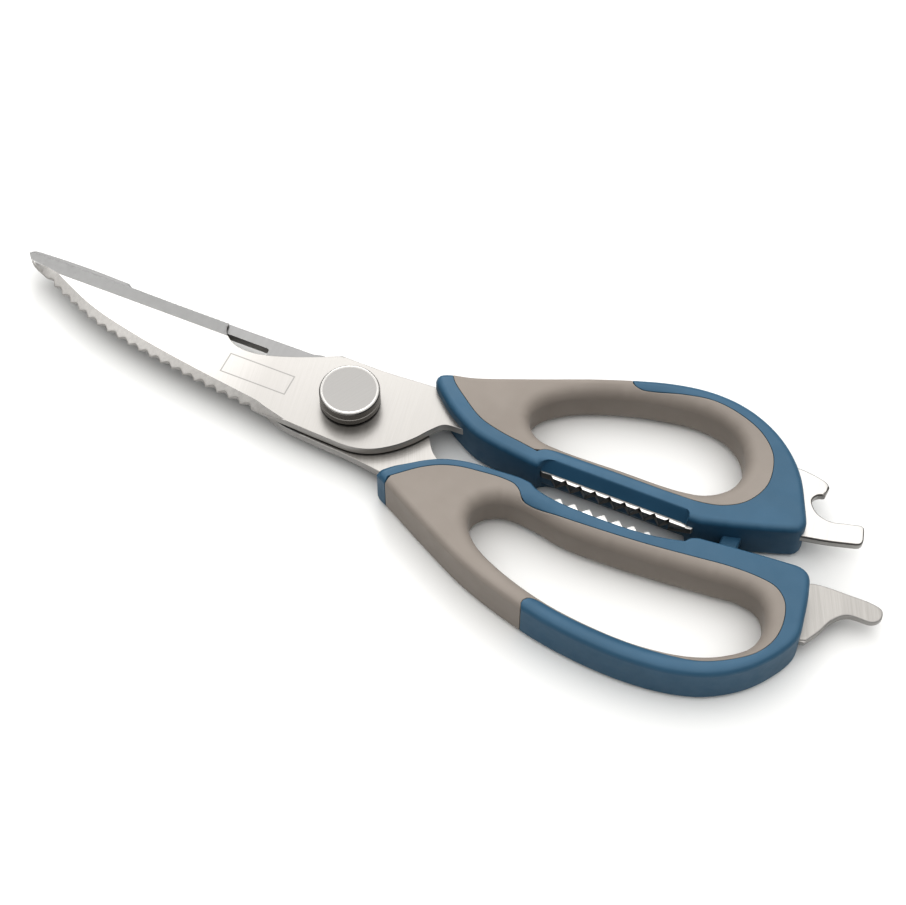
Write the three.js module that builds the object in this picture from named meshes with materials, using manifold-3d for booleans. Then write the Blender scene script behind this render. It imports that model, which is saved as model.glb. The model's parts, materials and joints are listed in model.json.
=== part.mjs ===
// Poultry shears: two full-tang steel blades that turn on one pivot, each with a two-part moulded handle.
//
// Millimetres, +Z up. The drawing's origin is the pivot's axis, midway between the two blades, with +X
// along the shears towards the handles. The shears lie closed on their side. The last lines shift the
// whole group, so that the exported origin is the middle of the underside of its bounding box.
import * as THREE from 'three';
import { mergeVertices } from 'three/addons/utils/BufferGeometryUtils.js';
import Module from 'manifold-3d';

const wasm = await Module();
wasm.setup();

// ---- driving dimensions -------------------------------------------------------------------------
const GAP = 0.3; // clearance between neighbouring pieces
const BLADE_THICKNESS = 2.3;
const BLADE_INNER_FACE = GAP / 2; // height of the upper blade's inner face over the middle plane
const BLADE_OUTER_FACE = BLADE_INNER_FACE + BLADE_THICKNESS;
const BLADE_LAND = 0.3; // steel left under a ground edge

const HANDLE_HALF_HEIGHT = 6;
const OUTER_EDGE_RADIUS = 1.3; // rounding along the outside of a handle
const LOOP_EDGE_RADIUS = 3.2; // rounding around a finger hole
const GRIP_SKIN = 1.2; // how deep the core lies under the soft grip
const CORE_EDGE_RADIUS = 0.2;
const SEAT_CHAMFER = 0.01; // along the edges of the tang's seat and of the core's step beside the grip
const CURVE_STEP = 4; // longest facet along a curved outline
const FINE_STEP = 1.4; // longest facet on small curves

const CUTTING_EDGE_Y = 10.2; // upper blade's cutting edge
const CUTTING_BEVEL_Y = 5.3; // where the cutting edge's bevel starts on the flat
const SCALER_TEETH = 20;
const SCALER_FIRST_TOOTH = 13.2; // from the tip, along the back of the upper blade
const SCALER_PITCH = 3.38;
const SCALER_DEPTH = 0.85;
const SCALER_BEVEL_WIDTH = 2.3;
const SCALER_RISE = 0.8; // share of a pitch over which each hollow rises from the tooth before it
const SCALER_HOLLOW = [[0.62, 0.8], [0.36, 1], [0.14, 0.6]]; // [pitches before the tip, share of the depth]
const LOWER_BEVEL_WIDTH = 4; // bevel ground along the lower blade's cutting edge, on its underside
const BEVEL_FROM_X = -110; // the cutting bevel runs from beyond the tip
const BEVEL_TO_X = -34; // to inside the bone notch

const JAW_PITCH = 3.73;
const JAW_DEPTH = 1.6;
const UPPER_JAW_TEETH = 8;
const UPPER_JAW_FIRST_TIP = 54.4;
const UPPER_JAW_TIP_Y = -1.65;
const LOWER_JAW_TEETH = 7;
const LOWER_JAW_FIRST_TIP = 56.4;
const LOWER_JAW_TIP_Y = -3.65;

const PIN_RADIUS = 2.9;
const HEAD_RADIUS = 6.2;
const HEAD_THICKNESS = 1.6;
const HEAD_CHAMFER = 0.5;
const DRIVER_SLOT_WIDTH = 1.2;
const DRIVER_SLOT_DEPTH = 0.7;
const CAP_RADIUS = 7.35;
const CAP_TOP = 7.3;
const CAP_RIM_RADIUS = 0.8;
const CAP_ROOF = 1.4; // thickness of the cap nut over the screw's end
const WASHER_RADIUS = 4.8;
const WASHER_THICKNESS = 0.5;

// ---- outlines, seen from above, as runs of points: a run of three or more is a smooth curve -------
const SCALER_BACK = [
  [-94.9, 9.5], [-91.8, 6.3], [-87, 4.2], [-80.5, 1.1], [-71, -2.7], [-58, -5.8], [-41.6, -8.4], [-20.9, -10.9],
];
const UPPER_HEEL = [
  [-18.5, -11.2], [-11, -11.6], [-2, -12], [6, -12], [10.7, -10.5], [15, -7.5], [18.6, -3.6], [21.4, 0.5],
  [23.6, 2.8], [27.5, 3.3], [31, 3.4], [37, 2.5], [43, 1.9], [48.5, 0.6],
];
const UPPER_JAW_LEFT = [50.4, -0.2];
const UPPER_JAW_RIGHT = [[82.7, -1.7], [87.9, -0.6]];
const UPPER_TANG_REAR = [[89.6, 2], [97, 3.8], [104, 6], [110.5, 7.6], [118, 9.2], [124.3, 11]];
const CAP_LIFTER = [[125.2, 11.5], [125.6, 12.4], [125.2, 14.4], [124.8, 15.8], [124.4, 16.4]];
const CAP_LIFTER_HOOK = [
  [123.6, 16.5], [120.1, 15.5], [116.8, 14.7], [113.2, 15.7], [111.1, 18.5], [111.9, 20.3], [113.5, 21],
];
const CAP_LIFTER_BACK = [[113.7, 23.6], [112.6, 24.6], [106, 25.7], [101.5, 25.2]];
const UPPER_TANG_TOP = [
  [101.5, 25.2], [98.6, 21.5], [97.4, 16.5], [95.4, 10.5], [90.5, 5.9], [84, 4.4], [68, 4.3], [52, 4.1],
  [45, 5.2], [40, 8.2], [31, 12], [24, 12.4], [14, 11.9], [4, 11.3], [-7.5, 11.3],
];
const BONE_NOTCH = [
  [-7.5, 11.3], [-12, 9.1], [-19.2, 5.9], [-25, 3.9], [-29.5, 3.2], [-33.6, 3.9], [-36.7, 6.2], [-38, 8.6],
];
const UPPER_EDGE = [[-38.2, CUTTING_EDGE_Y], [-93.4, CUTTING_EDGE_Y]];

const LOWER_EDGE = [
  [-95, 10.4], [-90, 7.2], [-80, 3.8], [-68, 1], [-54, -1.5], [-39, -3.6], [-28, -6], [-18.5, -9.9],
  [-13, -11.6], [-4, -12.5], [6.8, -13.2], [18, -14.8], [25, -17], [31, -17], [37, -13.8], [42.5, -10.8],
  [49, -10], [57, -10.8], [66, -11.3], [80, -11.1], [92, -10.4], [103, -9.4], [108.6, -9.7], [112.6, -11.8],
  [115.2, -15.4], [118.5, -17],
];
const PRY_TIP = [
  [121.6, -16.6], [123.9, -12.5], [125.5, -8.8], [128.4, -6], [134.2, -5.3], [135.7, -3.6], [135.2, -1.2],
  [132.5, -0.5], [126.4, -0.7], [122.4, -0.75], [119.5, -1], [117.4, -1.6], [115, -2.9], [112, -4.3],
  [104, -4.7], [96, -5.4], [89.5, -6.6],
];
const LOWER_JAW_RIGHT = [[87.4, -5.9], [81.2, -4.6]];
const LOWER_JAW_LEFT = [51.5, -6.6];
const LOWER_TANG_TOP = [
  [48.5, -7.6], [41, -8.1], [34, -8.6], [30, -7.9], [26.5, -5.8], [23.6, -3.8], [21.3, -0.6], [18.4, 3.9],
  [13.5, 8.6], [7, 10.8], [-4, 11.1], [-13, 11.1],
];
const LOWER_SPINE = [[-15.2, 10.5], [-40, 10.3], [-66, 10.6], [-67.2, 11.4]];
const LOWER_TIP = [[-67.2, 11.4], [-80, 11.6], [-90, 11.3], [-94, 11], [-95, 10.4]];
const BONE_SLOT = { left: -39.5, right: -25.7, bottom: 4.2, top: 7.5 };

// Grinding: how deep the bevels go, how far their cutting bodies reach, and corners well outside the blades.
const GROUND_DEPTH = BLADE_THICKNESS - BLADE_LAND;
const GROUND_REACH = 10;
const LOWER_EDGE_BEVELLED = 8; // the bevel follows this many points of the lower edge, from the tip
const BEYOND_BLADE = [[-8, -15], [160, -60], [160, 60], [-130, 60], [-110, 22]];
const BEYOND_HANDLE = [[-40, -90], [180, -90], [180, 90], [-40, 90]]; // a frame well outside either handle

const UPPER_HANDLE = [
  [[48.7, -0.8], [89.3, 0]],
  [[89.3, 0], [96, 1.9], [103, 4.1], [109, 6.2], [111.5, 7.4], [112.3, 9.6], [111, 13.3]],
  [[111, 13.3], [106.8, 22], [102, 27.8], [96, 32.2], [88.5, 35.2], [80, 36.1], [70, 34.6], [55, 29.4],
    [38, 22], [25, 16.6], [20, 15.3], [17.6, 14], [17.2, 12.3], [19, 10.2], [23.5, 6.3], [27.5, 3.8],
    [32, 1.6], [40, 0.1], [48.7, -0.8]],
];
const THUMB_HOLE = [
  [42, 13.3], [43.6, 17.2], [50, 22.2], [60, 26.4], [70, 29], [79, 30.1], [86.5, 28.6], [91.8, 24.2],
  [94, 17.6], [92.5, 12.4], [88, 8.7], [82, 7.3], [67, 6.9], [52, 6.6], [46.5, 7.3], [43, 9.9],
];
const UPPER_GRIP = [
  [[19.4, 18], [20.4, 15.2]],
  [[20.4, 15.2], [21.7, 13.3], [25.8, 10], [31.5, 6.2], [37, 4.5], [44, 3.4], [47.6, 2.8]],
  [[47.6, 2.8], [49.1, 4], [52, 4.7], [60, 4.9], [82, 4.9], [88, 5.1], [93, 6.4], [97.3, 9.3], [100, 13.8],
    [100.6, 18], [98.9, 24.5], [94.5, 29.2], [88, 32.2], [81, 33.4], [74, 32.3], [67, 30.2], [63.5, 29.5],
    [61.3, 30.2], [60.6, 31.8]],
  [[60.6, 40], [19.4, 40]],
];
const LOWER_HANDLE = [
  [[15.6, -18], [19.4, -20.1], [30, -25.7], [43, -32.1], [55, -36.2], [66, -38.8],
    [78, -40.2], [88, -40.3], [98, -39], [106, -36.2], [113, -31.2], [118, -24.8], [120.4, -19.2],
    [119.8, -13], [118.6, -6.6], [117.3, -2.9], [115, -1.7], [111, -2]],
  [[111, -2], [100, -3], [91, -4]],
  [[91, -4], [89.2, -4.7], [88.2, -6]],
  [[88.2, -6], [84, -7.1], [80, -7.8], [75, -8.25], [70, -8.4], [63, -8.35], [58, -8.1], [54, -7.5],
    [51.4, -6.75], [49.8, -5.8]],
  [[49.8, -5.8], [47.5, -5.5], [41, -5.8], [34, -6.4], [29, -7.7], [25, -9.7], [21, -12.7],
    [17.5, -15.5], [15.6, -18]],
];
const FINGER_HOLE = [
  [39.8, -18.4], [40.9, -22], [44.5, -25.7], [52, -29.4], [64, -33], [77, -34.7], [89, -34.7], [100, -32.6],
  [107, -29.1], [111.5, -24.6], [112.2, -19], [109.6, -13.5], [104.5, -11.7], [97, -12.3], [85, -13.4],
  [72, -14.2], [61, -14.1], [52, -12.5], [45.5, -12.5], [41.3, -14.9],
];
const LOWER_GRIP = [
  [[16.6, -44], [61, -44]],
  [[61, -38.6], [60.2, -36.6], [60.8, -34.9], [63, -33.9]],
  [[63, -33.9], [70, -35], [78, -35.6], [89, -35.6], [96, -35.1], [102, -34], [108, -31], [113, -27],
    [115.6, -22.4], [116, -17], [114.5, -12], [111.5, -9.3], [107, -8.4], [100, -8.4], [91, -9.4],
    [80, -10.6], [70, -11.3], [60, -11.7], [52.5, -11.6], [49.6, -10.9], [48.3, -9.2], [46.5, -7.9],
    [43, -7.5], [38, -7.9], [32.8, -8.6], [28.3, -10.1], [24.3, -12.6], [20.7, -15.8], [18.4, -18]],
];

// The recess over the upper jaw: its wall leans back from the jaw's faces to the top and the underside.
const RECESS_LEFT = 49.4;
const RECESS_RIGHT = 86.9;
const RECESS_LEDGE_Y = 0.3;
const RECESS_RIM_Y = 2;

// The closing stop, which meets the lower handle when the shears are shut.
const STOP = { left: 95, right: 99.3, bottom: -3, top: 0.8, tip: -2.7, root: 4 };

// ---- colours --------------------------------------------------------------------------------------
const steel = { color: 0xc9c5bf, roughness: 0.32, metalness: 1 };
const capSteel = { color: 0xb9b5b1, roughness: 0.3, metalness: 1 };
const bluePlastic = { color: 0x2f5674, roughness: 0.42, metalness: 0 };
const softGrip = { color: 0x958c83, roughness: 0.7, metalness: 0 };

// ---- solids ---------------------------------------------------------------------------------------
/** Turns a closed three.js geometry into a manifold solid. */
function solid(geometry) {
  const bare = geometry.index ? geometry.toNonIndexed() : geometry.clone();
  bare.deleteAttribute('normal');
  bare.deleteAttribute('uv');
  const merged = mergeVertices(bare, 1e-6);
  return new wasm.Manifold(new wasm.Mesh({
    numProp: 3,
    vertProperties: new Float32Array(merged.attributes.position.array),
    triVerts: new Uint32Array(merged.index.array),
  }));
}

/** Turns a manifold solid into a named mesh. */
function mesh(name, body, look) {
  const result = body.getMesh();
  const geometry = new THREE.BufferGeometry();
  geometry.setAttribute('position', new THREE.BufferAttribute(new Float32Array(result.vertProperties), 3));
  geometry.setIndex(new THREE.BufferAttribute(new Uint32Array(result.triVerts), 1));
  geometry.computeVertexNormals();
  const item = new THREE.Mesh(geometry, new THREE.MeshStandardMaterial(look));
  item.name = name;
  return item;
}

/** The points of a smooth curve through a run, or the run itself where it has only two points. */
function smooth(run, closed = false, step = CURVE_STEP) {
  if (run.length < 3) {
    return run.map(([x, y]) => new THREE.Vector2(x, y));
  }
  const knots = run.map(([x, y]) => new THREE.Vector3(x, y, 0));
  const curve = new THREE.CatmullRomCurve3(knots, closed, 'centripetal');
  const points = [];
  const spans = closed ? run.length : run.length - 1;
  for (let span = 0; span < spans; span += 1) {
    const chord = knots[span].distanceTo(knots[(span + 1) % run.length]);
    const facets = Math.max(1, Math.round(chord / step));
    for (let facet = 0; facet < facets; facet += 1) {
      const point = curve.getPoint((span + facet / facets) / spans);
      points.push(new THREE.Vector2(point.x, point.y));
    }
  }
  if (!closed) {
    points.push(new THREE.Vector2(...run[run.length - 1]));
  }
  return points;
}

/** Joins runs of points into one closed shape, dropping points that repeat. */
function shapeOf(runs, closed = false, step = CURVE_STEP) {
  const points = [];
  for (const run of runs) {
    for (const point of smooth(run, closed, step)) {
      if (points.every((other) => other.distanceTo(point) > 1e-3)) {
        points.push(point);
      }
    }
  }
  return new THREE.Shape(points);
}

/** A flat plate between two heights. */
function plate(shape, low, high) {
  const geometry = new THREE.ExtrudeGeometry(shape, { depth: high - low, bevelEnabled: false });
  return solid(geometry.translate(0, 0, low));
}

/** A plate centred on the middle plane, grown by `offset`, with its edges rounded. */
function roundedPlate(shape, halfHeight, radius, offset = 0, segments = 2) {
  const geometry = new THREE.ExtrudeGeometry(shape, {
    depth: 2 * (halfHeight - radius),
    bevelEnabled: true,
    bevelThickness: radius,
    bevelSize: radius,
    bevelOffset: offset - radius,
    bevelSegments: segments,
  });
  return solid(geometry.translate(0, 0, radius - halfHeight));
}

/** A plate around the tang's outline with clearance on every side, to cut its seat in a core. */
function tangSeat(shape, low, high) {
  const geometry = new THREE.ExtrudeGeometry(shape, {
    depth: high - low + 2 * (GAP - SEAT_CHAMFER),
    bevelEnabled: true,
    bevelThickness: SEAT_CHAMFER,
    bevelSize: SEAT_CHAMFER,
    bevelOffset: GAP,
    bevelSegments: 1,
  });
  return solid(geometry.translate(0, 0, low - GAP + SEAT_CHAMFER));
}

/** A prism along X with a section given as [y, z] points. */
function barAlongX(section, left, right) {
  const shape = new THREE.Shape(section.map(([y, z]) => new THREE.Vector2(y, z)));
  const geometry = new THREE.ExtrudeGeometry(shape, { depth: right - left, bevelEnabled: false });
  geometry.applyMatrix4(new THREE.Matrix4().makeBasis(
    new THREE.Vector3(0, 1, 0),
    new THREE.Vector3(0, 0, 1),
    new THREE.Vector3(1, 0, 0),
  ));
  return solid(geometry.translate(left, 0, 0));
}

/** A solid of revolution about Z from the [radius, height] corners of its section, the upper side first. */
function turned(profile, segments = 40) {
  const points = profile.map(([radius, height]) => new THREE.Vector2(radius, height));
  const geometry = new THREE.LatheGeometry([...points, points[0]].reverse(), segments);
  return solid(geometry.rotateX(Math.PI / 2));
}

function cylinder(radius, low, high, segments = 40) {
  const geometry = new THREE.CylinderGeometry(radius, radius, high - low, segments);
  return solid(geometry.rotateX(Math.PI / 2).translate(0, 0, (low + high) / 2));
}

function box(left, right, front, back, low, high) {
  const geometry = new THREE.BoxGeometry(right - left, back - front, high - low);
  return solid(geometry.translate((left + right) / 2, (front + back) / 2, (low + high) / 2));
}

// ---- blades ---------------------------------------------------------------------------------------
/** The scalloped scaler teeth along the back of the upper blade, from the tip to the heel. */
function scalerRun() {
  const knots = SCALER_BACK.map(([x, y]) => new THREE.Vector3(x, y, 0));
  const back = new THREE.CatmullRomCurve3(knots, false, 'centripetal');
  back.arcLengthDivisions = 800;
  const length = back.getLength();
  const at = (distance, inset) => {
    const share = Math.min(distance / length, 1);
    const point = back.getPointAt(share);
    const along = back.getTangentAt(share);
    return new THREE.Vector2(point.x - along.y * inset, point.y + along.x * inset);
  };
  const points = [];
  const plainSteps = 5;
  for (let step = 0; step < plainSteps; step += 1) {
    points.push(at((SCALER_FIRST_TOOTH - SCALER_PITCH * SCALER_RISE) * (step / plainSteps), 0));
  }
  for (let tooth = 0; tooth < SCALER_TEETH; tooth += 1) {
    const tip = SCALER_FIRST_TOOTH + tooth * SCALER_PITCH;
    for (const [before, depth] of SCALER_HOLLOW) {
      points.push(at(tip - SCALER_PITCH * before, SCALER_DEPTH * depth));
    }
    points.push(at(tip, 0));
  }
  return points;
}

/** Triangular jaw teeth from left to right: `side` is -1 where they point to -Y and 1 where to +Y. */
function jawTeeth(count, firstTip, tipY, side) {
  const points = [];
  for (let tooth = 0; tooth < count; tooth += 1) {
    const tip = firstTip + tooth * JAW_PITCH;
    points.push([tip - JAW_PITCH / 2, tipY - side * JAW_DEPTH]);
    points.push([tip, tipY]);
  }
  points.push([firstTip + (count - 0.5) * JAW_PITCH, tipY - side * JAW_DEPTH]);
  return points;
}

function upperBladeShape() {
  const points = [
    ...scalerRun(),
    ...smooth(UPPER_HEEL),
    new THREE.Vector2(...UPPER_JAW_LEFT),
    ...jawTeeth(UPPER_JAW_TEETH, UPPER_JAW_FIRST_TIP, UPPER_JAW_TIP_Y, -1).map((p) => new THREE.Vector2(...p)),
    ...smooth(UPPER_JAW_RIGHT),
    ...smooth(UPPER_TANG_REAR),
    ...smooth(CAP_LIFTER),
    ...smooth(CAP_LIFTER_HOOK, false, FINE_STEP),
    ...smooth(CAP_LIFTER_BACK, false, FINE_STEP),
    ...smooth(UPPER_TANG_TOP).slice(1),
    ...smooth(BONE_NOTCH, false, 2).slice(1),
    ...smooth(UPPER_EDGE),
  ];
  return new THREE.Shape(points);
}

function lowerBladeShape() {
  const teeth = jawTeeth(LOWER_JAW_TEETH, LOWER_JAW_FIRST_TIP, LOWER_JAW_TIP_Y, 1).reverse();
  const points = [
    ...smooth(LOWER_EDGE),
    ...smooth(PRY_TIP, false, FINE_STEP),
    ...smooth(LOWER_JAW_RIGHT),
    ...teeth.map((p) => new THREE.Vector2(...p)),
    new THREE.Vector2(...LOWER_JAW_LEFT),
    ...smooth(LOWER_TANG_TOP),
    ...smooth(LOWER_SPINE.slice(0, 2)),
    ...smooth(LOWER_SPINE.slice(2)),
    ...smooth(LOWER_TIP).slice(1, -1),
  ];
  return new THREE.Shape(points);
}

/** A deep body inside a blade's outline, bevelled along one run of that outline at both of its ends. */
function groundAlong(run, width) {
  const points = [...smooth(run), ...BEYOND_BLADE.map((p) => new THREE.Vector2(...p))];
  return new THREE.ExtrudeGeometry(new THREE.Shape(points), {
    depth: GROUND_REACH,
    bevelEnabled: true,
    bevelThickness: GROUND_DEPTH,
    bevelSize: width,
    bevelOffset: -width,
    bevelSegments: 1,
  });
}

/** Everything inside the bevel ground along the back of the upper blade, on its outer face. */
function scalerRoof() {
  const geometry = groundAlong(SCALER_BACK, SCALER_BEVEL_WIDTH);
  return solid(geometry.translate(0, 0, BLADE_OUTER_FACE - GROUND_DEPTH - GROUND_REACH));
}

/** Everything inside the bevel ground along the cutting edge of the lower blade, on its outer face. */
function lowerEdgeFloor() {
  const edge = LOWER_EDGE.slice(0, LOWER_EDGE_BEVELLED);
  return solid(groundAlong(edge, LOWER_BEVEL_WIDTH).translate(0, 0, GROUND_DEPTH - BLADE_OUTER_FACE));
}

/** The wedge that is ground off along the cutting edge. */
function cuttingWedge(top) {
  const edge = [CUTTING_EDGE_Y, BLADE_INNER_FACE + BLADE_LAND];
  const start = [CUTTING_BEVEL_Y, BLADE_OUTER_FACE];
  const run = [edge[0] - start[0], edge[1] - start[1]];
  const far = [edge[0] + run[0], edge[1] + run[1]];
  return barAlongX([start, far, [far[0], top], [start[0], top]], BEVEL_FROM_X, BEVEL_TO_X);
}

function upperBlade() {
  return plate(upperBladeShape(), BLADE_INNER_FACE, BLADE_OUTER_FACE)
    .intersect(scalerRoof())
    .subtract(cuttingWedge(BLADE_OUTER_FACE + 1))
    .subtract(cylinder(PIN_RADIUS + GAP, 0, BLADE_OUTER_FACE + 1));
}

function lowerBlade() {
  const { left, right, bottom, top } = BONE_SLOT;
  return plate(lowerBladeShape(), -BLADE_OUTER_FACE, -BLADE_INNER_FACE)
    .intersect(lowerEdgeFloor())
    .subtract(box(left, right, bottom, top, -BLADE_OUTER_FACE - 1, 0))
    .subtract(cylinder(PIN_RADIUS + GAP, -BLADE_OUTER_FACE - 1, 0));
}

// ---- handles --------------------------------------------------------------------------------------
/** A handle's full body: a rounded outline around a finger hole with a larger rounding. */
function handleBody(outline, hole, halfHeight, offset, outerRadius, holeRadius) {
  const around = new THREE.Shape(BEYOND_HANDLE.map((p) => new THREE.Vector2(...p)));
  around.holes.push(shapeOf([hole], true));
  return roundedPlate(shapeOf(outline), halfHeight, outerRadius, offset)
    .intersect(roundedPlate(around, halfHeight, holeRadius, offset));
}

/** Splits a handle into its rigid core and the soft grip moulded over it. */
function splitHandle(outline, hole, gripRuns) {
  const body = handleBody(outline, hole, HANDLE_HALF_HEIGHT, 0, OUTER_EDGE_RADIUS, LOOP_EDGE_RADIUS);
  const region = shapeOf(gripRuns);
  const reach = HANDLE_HALF_HEIGHT + 1;
  const under = (depth) => handleBody(
    outline, hole, HANDLE_HALF_HEIGHT - depth, -depth, CORE_EDGE_RADIUS, CORE_EDGE_RADIUS,
  );
  const inner = under(GRIP_SKIN + GAP);
  const seat = under(GRIP_SKIN);
  const grip = body.intersect(plate(region, -reach, reach)).subtract(seat);
  const clearRegion = roundedPlate(region, reach, SEAT_CHAMFER, GAP, 1);
  const core = body.subtract(clearRegion).add(inner);
  return { core, grip };
}

function upperHandle(tang) {
  const { core, grip } = splitHandle(UPPER_HANDLE, THUMB_HOLE, UPPER_GRIP);
  const lean = (RECESS_RIM_Y - RECESS_LEDGE_Y) / (HANDLE_HALF_HEIGHT - BLADE_OUTER_FACE);
  const past = HANDLE_HALF_HEIGHT + 2;
  const pastY = RECESS_LEDGE_Y + lean * (past - BLADE_OUTER_FACE);
  const recess = barAlongX([
    [-6, -past], [pastY, -past], [RECESS_LEDGE_Y, -BLADE_OUTER_FACE],
    [RECESS_LEDGE_Y, BLADE_OUTER_FACE], [pastY, past], [-6, past],
  ], RECESS_LEFT, RECESS_RIGHT);
  const stop = box(STOP.left, STOP.right, STOP.tip, STOP.root, STOP.bottom, STOP.top);
  const seat = tangSeat(tang, BLADE_INNER_FACE, BLADE_OUTER_FACE);
  return { core: core.add(stop).subtract(recess).subtract(seat), grip: grip.subtract(seat) };
}

function lowerHandle(tang) {
  const { core, grip } = splitHandle(LOWER_HANDLE, FINGER_HOLE, LOWER_GRIP);
  const seat = tangSeat(tang, -BLADE_OUTER_FACE, -BLADE_INNER_FACE);
  return { core: core.subtract(seat), grip: grip.subtract(seat) };
}

// ---- pivot ----------------------------------------------------------------------------------------
/** The screw: a wide low head under the lower blade and a plain shank up into the cap nut. */
function pivotScrew() {
  const headTop = -BLADE_OUTER_FACE - GAP;
  const headBottom = headTop - HEAD_THICKNESS;
  const shankTop = CAP_TOP - CAP_ROOF - GAP;
  const slotHalf = DRIVER_SLOT_WIDTH / 2;
  const profile = [
    [0, headBottom],
    [0, shankTop],
    [PIN_RADIUS, shankTop],
    [PIN_RADIUS, headTop],
    [HEAD_RADIUS, headTop],
    [HEAD_RADIUS, headBottom + HEAD_CHAMFER],
    [HEAD_RADIUS - HEAD_CHAMFER, headBottom],
  ];
  const slotTop = headBottom + DRIVER_SLOT_DEPTH;
  const slot = box(-HEAD_RADIUS, HEAD_RADIUS, -slotHalf, slotHalf, headBottom - 1, slotTop);
  return turned(profile).subtract(slot);
}

function pivotWasher() {
  const low = BLADE_OUTER_FACE + GAP;
  return turned([
    [PIN_RADIUS + GAP, low],
    [PIN_RADIUS + GAP, low + WASHER_THICKNESS],
    [WASHER_RADIUS, low + WASHER_THICKNESS],
    [WASHER_RADIUS, low],
  ]);
}

/** The large round cap nut on top, hollow underneath for the washer and the screw. */
function pivotCapNut() {
  const low = BLADE_OUTER_FACE + GAP;
  const well = low + WASHER_THICKNESS + GAP;
  const rim = [];
  const rimSteps = 4;
  for (let step = 0; step <= rimSteps; step += 1) {
    const turn = (Math.PI / 2) * (step / rimSteps);
    rim.push([
      CAP_RADIUS - CAP_RIM_RADIUS + CAP_RIM_RADIUS * Math.sin(turn),
      CAP_TOP - CAP_RIM_RADIUS + CAP_RIM_RADIUS * Math.cos(turn),
    ]);
  }
  return turned([
    [0, CAP_TOP - CAP_ROOF],
    [0, CAP_TOP],
    ...rim,
    [CAP_RADIUS, low],
    [WASHER_RADIUS + GAP, low],
    [WASHER_RADIUS + GAP, well],
    [PIN_RADIUS + GAP, well],
    [PIN_RADIUS + GAP, CAP_TOP - CAP_ROOF],
  ], 48);
}

// ---- assembly -------------------------------------------------------------------------------------
const upper = upperHandle(upperBladeShape());
const lower = lowerHandle(lowerBladeShape());

const shears = new THREE.Group();
shears.add(
  mesh('upper_blade', upperBlade(), steel),
  mesh('upper_handle_core', upper.core, bluePlastic),
  mesh('upper_handle_grip', upper.grip, softGrip),
  mesh('lower_blade', lowerBlade(), steel),
  mesh('lower_handle_core', lower.core, bluePlastic),
  mesh('lower_handle_grip', lower.grip, softGrip),
  mesh('pivot_screw', pivotScrew(), steel),
  mesh('pivot_washer', pivotWasher(), steel),
  mesh('pivot_cap_nut', pivotCapNut(), capSteel),
);

const bounds = new THREE.Box3().setFromObject(shears);
const middle = bounds.getCenter(new THREE.Vector3());
shears.position.set(-middle.x, -middle.y, -bounds.min.z);

export default shears;
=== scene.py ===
"""Poultry shears: the visible surfaces and materials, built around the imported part.

Outlines are in millimetres in the part's own drawing frame, whose origin is the pivot joint, with +X along
the shears towards the handles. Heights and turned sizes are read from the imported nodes.
"""

import json
import math

import bpy
import numpy as np
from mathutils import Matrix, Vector
from mathutils.geometry import delaunay_2d_cdt


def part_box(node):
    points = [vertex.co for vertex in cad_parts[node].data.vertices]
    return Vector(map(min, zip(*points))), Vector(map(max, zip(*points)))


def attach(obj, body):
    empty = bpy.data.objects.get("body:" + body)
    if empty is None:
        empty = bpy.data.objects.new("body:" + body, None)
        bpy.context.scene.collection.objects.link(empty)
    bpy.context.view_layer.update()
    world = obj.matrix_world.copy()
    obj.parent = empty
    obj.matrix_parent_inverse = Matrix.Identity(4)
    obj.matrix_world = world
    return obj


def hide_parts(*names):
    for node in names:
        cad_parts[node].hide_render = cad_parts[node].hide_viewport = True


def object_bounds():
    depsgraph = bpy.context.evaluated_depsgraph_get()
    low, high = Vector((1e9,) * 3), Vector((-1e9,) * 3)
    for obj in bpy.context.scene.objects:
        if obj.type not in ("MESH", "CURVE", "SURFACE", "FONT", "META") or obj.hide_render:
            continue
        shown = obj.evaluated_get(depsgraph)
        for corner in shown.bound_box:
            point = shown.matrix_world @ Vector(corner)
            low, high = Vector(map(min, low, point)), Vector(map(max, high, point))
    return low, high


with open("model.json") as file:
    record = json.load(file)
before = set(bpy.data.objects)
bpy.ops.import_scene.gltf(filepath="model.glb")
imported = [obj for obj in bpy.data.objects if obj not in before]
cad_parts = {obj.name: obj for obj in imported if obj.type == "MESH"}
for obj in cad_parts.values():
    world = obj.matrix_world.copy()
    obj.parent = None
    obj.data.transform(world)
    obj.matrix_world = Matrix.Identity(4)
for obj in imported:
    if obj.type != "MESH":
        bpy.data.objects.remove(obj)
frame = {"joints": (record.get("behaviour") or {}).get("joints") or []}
cad_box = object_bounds()

MM = 0.001
PIVOT = Vector(frame["joints"][0]["pos_m"])


def height(node, corner):
    """The lowest (0) or highest (1) point of a node over the pivot joint's own height, in millimetres."""
    return (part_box(node)[corner].z - PIVOT.z) / MM


def thickness(node):
    """How tall a node is, in millimetres."""
    return height(node, 1) - height(node, 0)


def radius_of(node):
    """Half the width of a turned node, in millimetres."""
    low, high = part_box(node)
    return (high.x - low.x) / 2 / MM


BLADE_INNER = height("upper_blade", 0)
BLADE_OUTER = height("upper_blade", 1)
HANDLE_TOP = height("upper_handle_core", 1)
CAP_TOP = height("pivot_cap_nut", 1)
CAP_BOTTOM = height("pivot_cap_nut", 0)
CAP_RADIUS = radius_of("pivot_cap_nut")

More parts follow.
